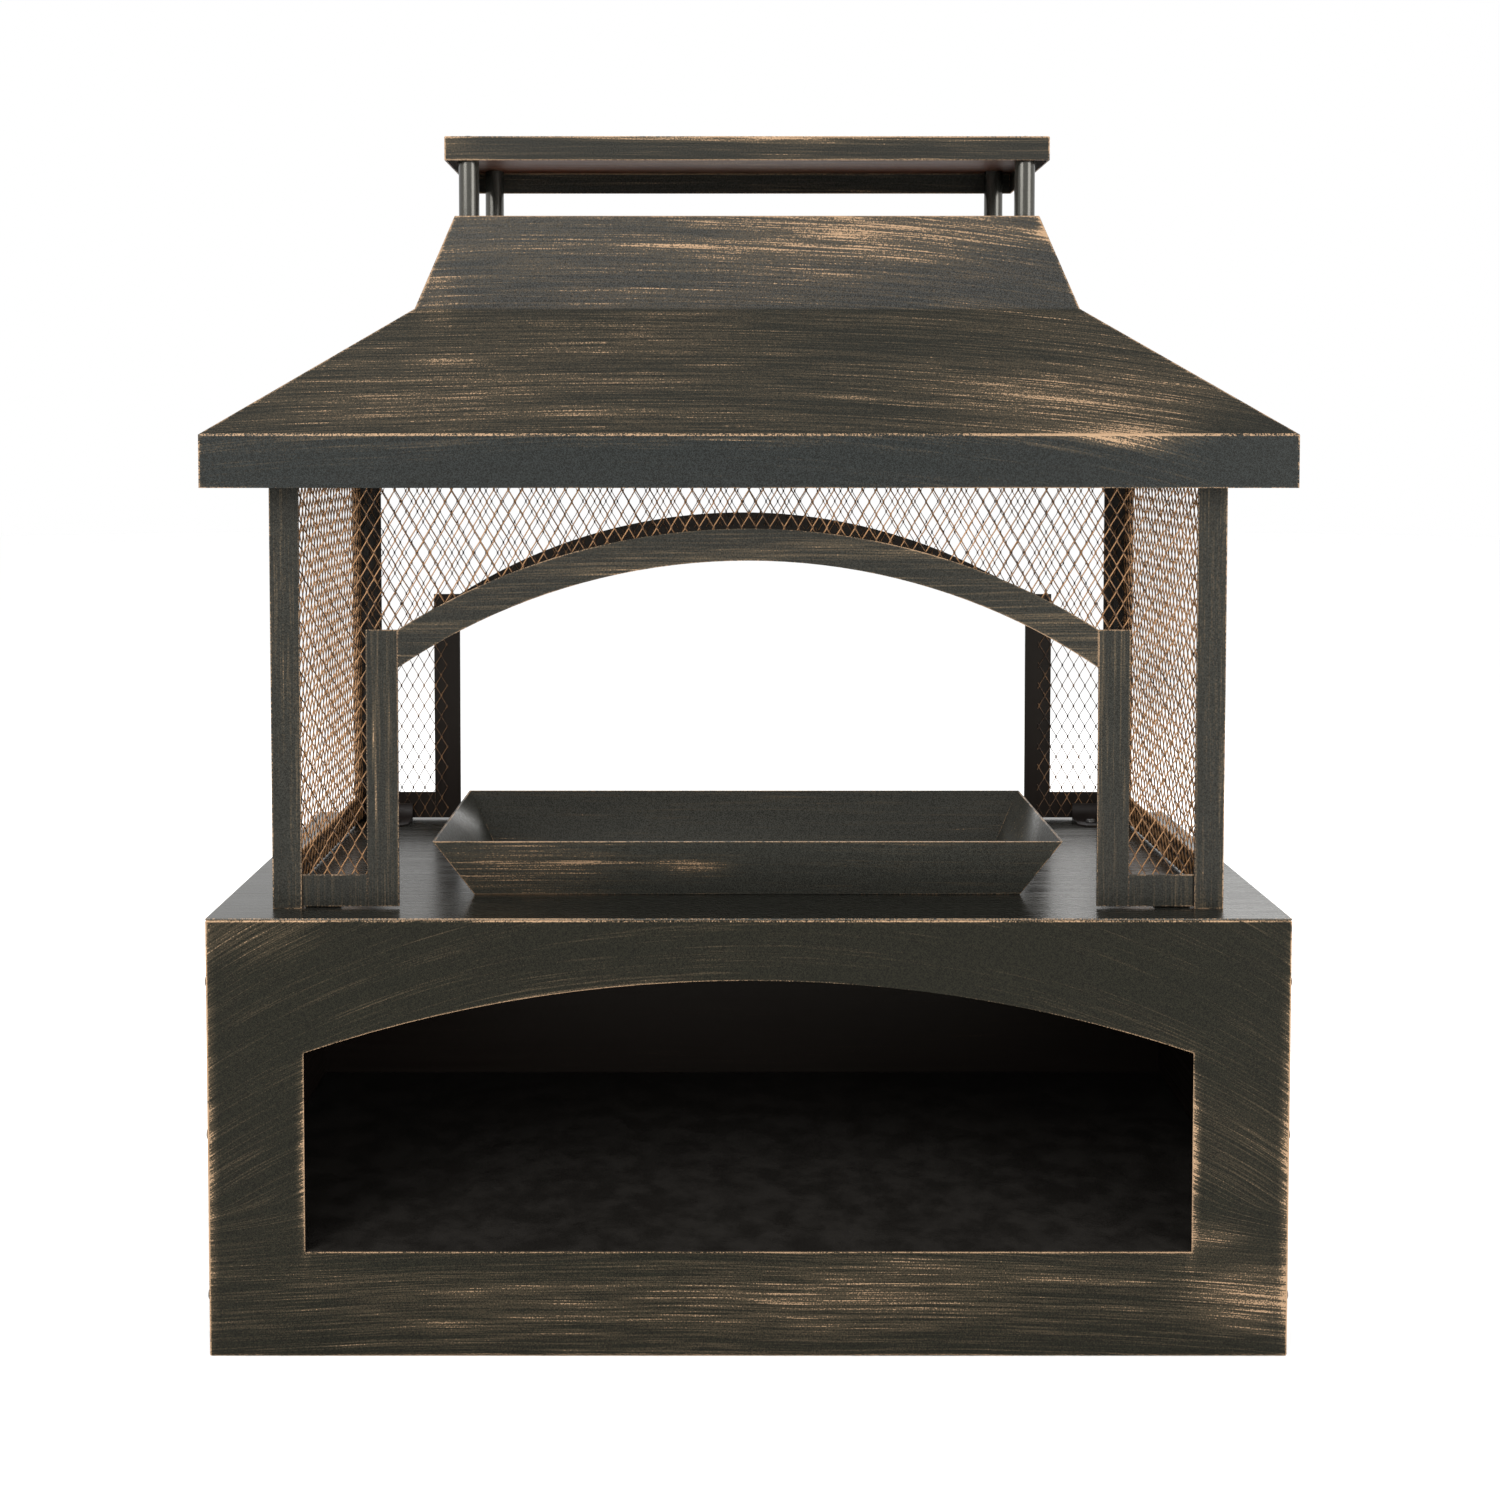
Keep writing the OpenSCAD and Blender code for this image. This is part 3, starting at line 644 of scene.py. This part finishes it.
def knuckle_box(joint, breadth):
    """Eight corners of the solid joint where four strands meet."""
    half_t = breadth * STRAND_THINNER / 2
    return [Vector((joint[0] + s * KNUCKLE_W / 2, joint[1] + end * KNUCKLE, t * half_t))
            for end in (-1, 1) for s, t in ((-1, -1), (1, -1), (1, 1), (-1, 1))]


BOX_FACES = ((0, 1, 2, 3), (7, 6, 5, 4), (0, 4, 5, 1), (1, 5, 6, 2), (2, 6, 7, 3), (3, 7, 4, 0))


def expanded_metal(node, kind, width, height, inside, place, material):
    """Diamond mesh on a flat sheet, placed by a function from (across, up, out) to the frame."""
    breadth = STRAND_W[kind]
    draw = random.Random(MESH_SEEDS[node])
    columns = int(width / DIAMOND_W) * 2 + 4
    rows = int(height / DIAMOND_H) * 2 + 4
    joint = {}
    for i in range(-2, columns + 1):
        for j in range(-2, rows + 1):
            joint[i, j] = (i * DIAMOND_W / 2 - width / 2 + draw.uniform(-MESH_JITTER, MESH_JITTER),
                           j * DIAMOND_H / 2 + draw.uniform(-MESH_JITTER, MESH_JITTER))
    verts, faces, coppers = [], [], []

    def add_box(corners, one_edge, other_edge):
        first = len(verts)
        verts.extend(place(*corner) for corner in corners)
        faces.extend(tuple(first + k for k in face) for face in BOX_FACES)
        coppers.extend([one_edge, other_edge, other_edge, one_edge] * 2)

    for (i, j), start in joint.items():
        if (i + j) % 2 or (i, j + 1) not in joint:
            continue
        if inside(start[0], start[1] - KNUCKLE) and inside(start[0], start[1] + KNUCKLE):
            add_box(knuckle_box(start, breadth), KNUCKLE_COPPER, KNUCKLE_COPPER)
        # more copper on right-leaning strands is a painted highlight, less on left-leaning ones painted
        # shade
        for step, lean, rubbed_and_painted_light in ((1, True, RIGHT_COPPER_PAINTED_LIT), (-1, False, LEFT_COPPER_PAINTED_SHADE)):
            end = joint.get((i + step, j + 1))
            if end is None:
                continue
            lower = (start[0], start[1] + STRAND_START)
            upper = (end[0], end[1] - STRAND_START)
            piece = trimmed(lower, upper, inside)
            if piece is None:
                continue
            add_box(strand_box(*piece, lean, breadth), 0.0, rubbed_and_painted_light * COPPER_CAUGHT[kind])
    mesh = bpy.data.meshes.new(node + "_diamonds")
    mesh.from_pydata(verts, [], faces)
    attribute = mesh.attributes.new("rubbed_and_painted_light", "FLOAT", "POINT")
    attribute.data.foreach_set("value", coppers)
    bm = bmesh.new()
    bm.from_mesh(mesh)
    bmesh.ops.recalc_face_normals(bm, faces=bm.faces)
    bm.to_mesh(mesh)
    bm.free()
    return stand_for(add_object(node + "_diamonds", mesh, material), node)


def arch_test(node):
    """Inside the arched sheet: within its box, and outside the opening that its frame borders."""
    side = node.split("_")[0]
    low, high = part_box(node)
    stile_low, stile_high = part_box(side + "_stile_right")
    arch_low, arch_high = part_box(side + "_arch")
    half = (stile_low.x + stile_high.x) / 2
    open_half = stile_low.x
    rise = arch_high.z - stile_high.z
    radius = (open_half ** 2 + rise ** 2) / (2 * rise)
    middle_r = radius - (stile_high.x - stile_low.x) / 2
    centre_z = arch_high.z - radius

    def inside(across, up):
        z = low.z + up
        if abs(across) > high.x or not low.z <= z <= high.z:
            return False
        in_opening = abs(across) < half and across ** 2 + (z - centre_z) ** 2 < middle_r ** 2
        return not in_opening

    return inside


def end_mesh(node, material):
    """The front or rear sheet of expanded metal, flat, with its arched opening."""
    low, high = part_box(node)
    y = (low.y + high.y) / 2
    out = -1.0 if y < 0 else 1.0

    def place(across, up, away):
        return (across, y + out * away, low.z + up)

    kind = node.split("_")[0]
    return expanded_metal(node, kind, high.x - low.x, high.z - low.z, arch_test(node), place, material)


def side_mesh(node, material):
    """A side sheet of expanded metal, bellied a little inward between its rails."""
    low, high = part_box(node)
    x = (low.x + high.x) / 2
    out = -1.0 if x < 0 else 1.0
    width, height = high.y - low.y, high.z - low.z

    def inside(across, up):
        return abs(across) <= width / 2 and 0 <= up <= height

    def place(across, up, away):
        belly = math.cos(math.pi * across / width) * math.sin(math.pi * min(max(up / height, 0), 1))
        ripple = MESH_RIPPLE * math.sin(9 * across / width + 5 * up / height)
        return (x + out * (away - MESH_BOW * belly * (0.7 + ripple)), across, low.z + up)

    return expanded_metal(node, "side", width, height, inside, place, material)


# ---------------------------------------------------------------- the chiminea


def base():
    """The folded base panels, the log store's shelf and the hearth plate on its channels."""
    low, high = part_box("base_front_panel")
    window_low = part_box("log_shelf")[1].z
    front_y = low.y
    # the panels' inward faces are darkened with soot and painted shade for the dim log store
    front = brushed_paint(
        "paint_base_front", LEVEL, copper=-0.9, edges=1.0, ragged=2.2, arc=(0.0, 0.42),
        level_below=window_low, base=CHARCOAL_DEEP, gloss=0.14, soot_and_painted_shade=True,
        patches=(
            # the band under the window, its right end, and the right sill corner
            patch((0, front_y, 0.50 * window_low), (0.70, 0.03, 0.080), 2.0),
            patch((0.93 * high.x, front_y, 0.55 * window_low), (0.09, 0.03, 0.045), 1.9),
            patch((0.86 * high.x, front_y, 1.15 * window_low), (0.05, 0.03, 0.018), 1.9),
            # the right pier, and the top left corner
            patch((0.90 * high.x, front_y, 0.55 * high.z), (0.10, 0.03, 0.10), 1.0),
            patch((0.95 * low.x, front_y, 0.97 * high.z), (0.12, 0.03, 0.04), 1.8),
            # a barer stretch over the arch, right of the middle
            patch((0.55 * high.x, front_y, 0.90 * high.z), (0.34, 0.03, 0.06), -0.8),
            # the outer edges, and the window's upright edges
            *(patch((x, front_y, 0.5 * high.z), (0.012, 0.015, 0.26), 3.0) for x in (low.x, high.x)),
            *(patch((x, front_y, 1.9 * window_low), (0.010, 0.015, 0.12), 3.2)
              for x in (low.x + PIER_W, high.x - PIER_W)),
        ))
    side = brushed_paint("paint_base_side", DEEP, copper=0.0, edges=0.9, ragged=2.4,
                         base=CHARCOAL_DEEP, gloss=0.16, soot_and_painted_shade=True)
    back = brushed_paint("paint_base_back", LEVEL, copper=-0.2, edges=0.8, ragged=2.0,
                         base=CHARCOAL_DEEP, gloss=0.16, soot_and_painted_shade=True)
    top = brushed_paint("paint_hearth", LEVEL, copper=-1.6, edges=1.0, ragged=1.5,
                        base=CHARCOAL_COOL, rough=0.24, gloss=0.62, strokes=0.5, relief=0.1)
    inner = plain_enamel("enamel_store", STORE_BLACK, 0.55, 0.3)
    formed("base_front_panel", front)
    formed("base_back_panel", back)
    formed("base_left_panel", side)
    formed("base_right_panel", side)
    formed("hearth_plate", top)
    formed("log_shelf", inner)
    for way in ("left", "right"):
        formed("hearth_channel_" + way, inner)


def chamber():
    """The corner posts, the arched frames and their brackets, and the four sheets of mesh."""
    # the frame's inward faces are darkened with soot and painted shade
    post = brushed_paint("paint_post", TALL, copper=-0.4, edges=0.9, ragged=1.2,
                         base=CHARCOAL_COOL, strokes=1.3, soot_and_painted_shade=True)
    upright = brushed_paint("paint_upright", TALL, copper=-0.4, edges=0.9, ragged=1.2,
                            base=CHARCOAL_COOL, strokes=1.3, soot_and_painted_shade=True)
    level = brushed_paint("paint_strip", LEVEL, copper=-0.2, edges=0.9, ragged=1.2,
                          base=CHARCOAL_COOL, strokes=1.4, soot_and_painted_shade=True)
    side = brushed_paint("paint_side_strip", DEEP, copper=-0.4, edges=0.8, ragged=0.8, soot_and_painted_shade=True)
    wire = strand_paint("paint_expanded_metal")
    inner = plain_enamel("enamel_bracket", SOOT_AND_SHADE, 0.45, 0.6)
    for end in ("front", "rear"):
        for way in ("left", "right"):
            formed("post_%s_%s" % (end, way), post)
            formed("%s_stile_%s" % (end, way), upright)
            formed("%s_foot_rail_%s" % (end, way), upright)
            formed("foot_bracket_%s_%s" % (end, way), inner)
        formed(end + "_arch", level)
        formed(end + "_top_rail", level)
        end_mesh(end + "_mesh", wire)
    for way in ("left", "right"):
        formed("side_foot_rail_" + way, side)
        formed("side_top_rail_" + way, side)
        side_mesh(way + "_mesh", wire)


def hood():
    """The four folded hood sheets, and the bars and brackets inside them."""
    low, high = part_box("hood_front_sheet")
    eaves_z = low.z + EAVES_SHARE * (high.z - low.z)
    knee_z = high.z - UPPER_SHARE * (high.z - low.z)
    # a plain charcoal above the eaves; above the knee a paler band, a painted sheen standing in for the
    # light on the steep upper slope
    bands = ((eaves_z, CHARCOAL), (knee_z, CHARCOAL_PAINTED_SHEEN))
    front = brushed_paint(
        "paint_hood_front", LEVEL, copper=0.35, edges=0.85, ragged=1.4, arc=(-0.12, 0.16), soot_and_painted_shade=True,
        base=CHARCOAL_BLUE, bands=bands,
        patches=(
            # right of the middle: high on the upper slope, low on the lower slope, and on the eaves fold
            patch((0.13, low.y, 0.88 * high.z + 0.12 * knee_z), (0.30, 0.3, 0.060), 2.2),
            patch((0.24, low.y, eaves_z + 0.040), (0.22, 0.3, 0.045), 1.0),
            patch((0.31, low.y, eaves_z - 0.002), (0.08, 0.3, 0.018), 1.5),
            # left: low on the lower slope, and where the two slopes meet
            patch((-0.28, low.y, eaves_z + 0.035), (0.20, 0.3, 0.05), 0.6),
            patch((-0.27, low.y, knee_z + 0.010), (0.03, 0.3, 0.05), 1.4),
            # the top right corner
            patch((0.26, low.y, high.z - 0.012), (0.012, 0.3, 0.02), 2.5),
            # the eaves band is nearly bare, and so is its right end
            patch((0, low.y, low.z + 0.010), (0.9, 0.3, 0.040), -2.4),
            patch((0.43, low.y, eaves_z - 0.01), (0.10, 0.3, 0.05), -2.4),
        ))
    back = brushed_paint("paint_hood_back", LEVEL, copper=0.0, edges=0.8, ragged=1.4, soot_and_painted_shade=True,
                         base=CHARCOAL_BLUE, bands=bands)
    side = brushed_paint("paint_hood_side", DEEP, copper=0.0, edges=0.8, ragged=1.4, soot_and_painted_shade=True,
                         base=CHARCOAL_BLUE, bands=bands)
    inner = plain_enamel("enamel_hood_inner", SOOT_AND_SHADE, 0.5, 0.4)
    formed("hood_front_sheet", front)
    formed("hood_back_sheet", back)
    for way in ("left", "right"):
        formed("hood_%s_sheet" % way, side)
        formed("throat_bar_" + way, inner)
        for end in ("front", "rear"):
            formed("hood_bracket_%s_%s" % (end, way), inner)


def cap():
    """The rain cap on its four tubes."""
    low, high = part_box("cap_tray")
    # the cap's faces turned down take a painted red glow of firelight
    lid = brushed_paint(
        "paint_cap", LEVEL, copper=-0.4, edges=1.0, ragged=1.4, base=CHARCOAL_COOL, painted_firelight=True,
        patches=(
            # the front top edge, and its left corner
            patch((0.02, low.y, high.z), (0.30, 0.3, 0.010), 3.2),
            patch((low.x, low.y, high.z), (0.04, 0.3, 0.020), 1.8),
        ))
    tube = brushed_paint("paint_tube", TALL, copper=-1.6, edges=0.4, ragged=0.0,
                         base=CHARCOAL_COOL, rough=0.20, gloss=0.8, strokes=0.4, relief=0.2)
    formed("cap_tray", lid)
    for end in ("front", "rear"):
        for way in ("left", "right"):
            formed("cap_tube_%s_%s" % (end, way), tube)


def pan():
    low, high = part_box("fire_pan")
    middle = (low.z + high.z) / 2
    paint = brushed_paint(
        "paint_pan", LEVEL, copper=-0.7, edges=0.9, ragged=1.4, base=IRON, strokes=0.8,
        patches=(
            # the front's left part, and a dab left of its middle
            patch((0.72 * low.x, low.y, middle), (0.14, 0.1, 0.06), 2.4),
            patch((-0.045, low.y, middle), (0.05, 0.1, 0.02), 2.6),
        ))
    formed("fire_pan", paint)


def fixings():
    steel = dark_steel("blackened_steel")
    bolts("base_bolts", "x", steel)
    bolts("hood_bolts", "x", steel)
    bolts("foot_bolts", "z", steel)
    bolts("cap_bolts", "z", steel, dome_h=CAP_HEAD_H)
    for node in ("base_nuts", "foot_nuts", "hood_nuts"):
        formed(node, steel, fold=NUT_FOLD, cut=NUT_CUT)


# ---------------------------------------------------------------- stage, light, camera

FLOOR_RADIUS = 14.0
FLOOR_GAP = 0.5 * MM         # keeps the floor from showing through what rests on it
FLOOR_FADE = (1.5, 8.0)      # the floor turns white between these distances, so it has no far edge

CAMERA_BACK = 1.396          # from the object's front
CAMERA_SIDE = -0.0242
CAMERA_HEIGHT = 0.761
CAMERA_TILT = math.radians(2.195)
CAMERA_LENS = 40.915         # millimetres, on a sensor 36 mm wide
CAMERA_SENSOR = 36.0
CAMERA_SHIFT = (0.0204, -0.160)


def stage():
    """A pale floor that runs out to white."""
    mesh = bpy.data.meshes.new("floor")
    bm = bmesh.new()
    bmesh.ops.create_circle(bm, cap_ends=True, radius=FLOOR_RADIUS, segments=96)
    bm.to_mesh(mesh)
    bm.free()
    g = Graph("pale_floor")
    cloud = g.noise(g.place, 3.0, 2.0, 0.5)
    near = g.mix(cloud, FLOOR_DARK, FLOOR_PALE)
    g.set("Base Color", g.mix(g.ramp(g.length(g.place), *FLOOR_FADE), near, WHITE))
    g.set("Roughness", 0.85)
    floor = add_object("floor", mesh, g.material)
    floor.location.z = cad_low.z - FLOOR_GAP


def softbox(name, place, aim, size, power):
    """A soft lamp at a place, turned to its aim."""
    data = bpy.data.lights.new(name, "AREA")
    data.shape = "RECTANGLE"
    data.size, data.size_y = size
    data.energy = power
    lamp = bpy.data.objects.new(name, data)
    lamp.location = place
    lamp.rotation_euler = (Vector(aim) - Vector(place)).to_track_quat("-Z", "Y").to_euler()
    bpy.context.scene.collection.objects.link(lamp)


def lights():
    world = bpy.data.worlds.new("studio")
    world.use_nodes = True
    sky = world.node_tree.nodes["Background"]
    sky.inputs["Color"].default_value = (*WHITE, 1.0)
    sky.inputs["Strength"].default_value = 1.0
    bpy.context.scene.world = world
    bpy.context.scene.view_settings.view_transform = "Standard"
    aim = (0, 0, 0.55)
    softbox("key", (-1.9, -2.4, 2.3), aim, (1.8, 1.8), 90)
    softbox("fill", (2.3, -2.2, 1.3), aim, (1.6, 2.0), 55)
    softbox("rim", (0.6, 2.4, 2.2), aim, (2.2, 1.4), 60)


def camera():
    """Just under the eaves, a step in front, framing the object from cap to ground.

    A slight downward tilt takes part of what the shift would do, so the shift stays small
    enough for the cap to stay in the picture from every other side.
    """
    data = bpy.data.cameras.new("camera")
    data.lens = CAMERA_LENS
    data.sensor_width = CAMERA_SENSOR
    data.shift_x, data.shift_y = CAMERA_SHIFT
    lens = bpy.data.objects.new("camera", data)
    lens.location = (CAMERA_SIDE, cad_low.y - CAMERA_BACK, CAMERA_HEIGHT)
    lens.rotation_euler = (math.pi / 2 - CAMERA_TILT, 0, 0)
    bpy.context.scene.collection.objects.link(lens)
    bpy.context.scene.camera = lens


base()
chamber()
hood()
cap()
pan()
fixings()
stage()
lights()
camera()
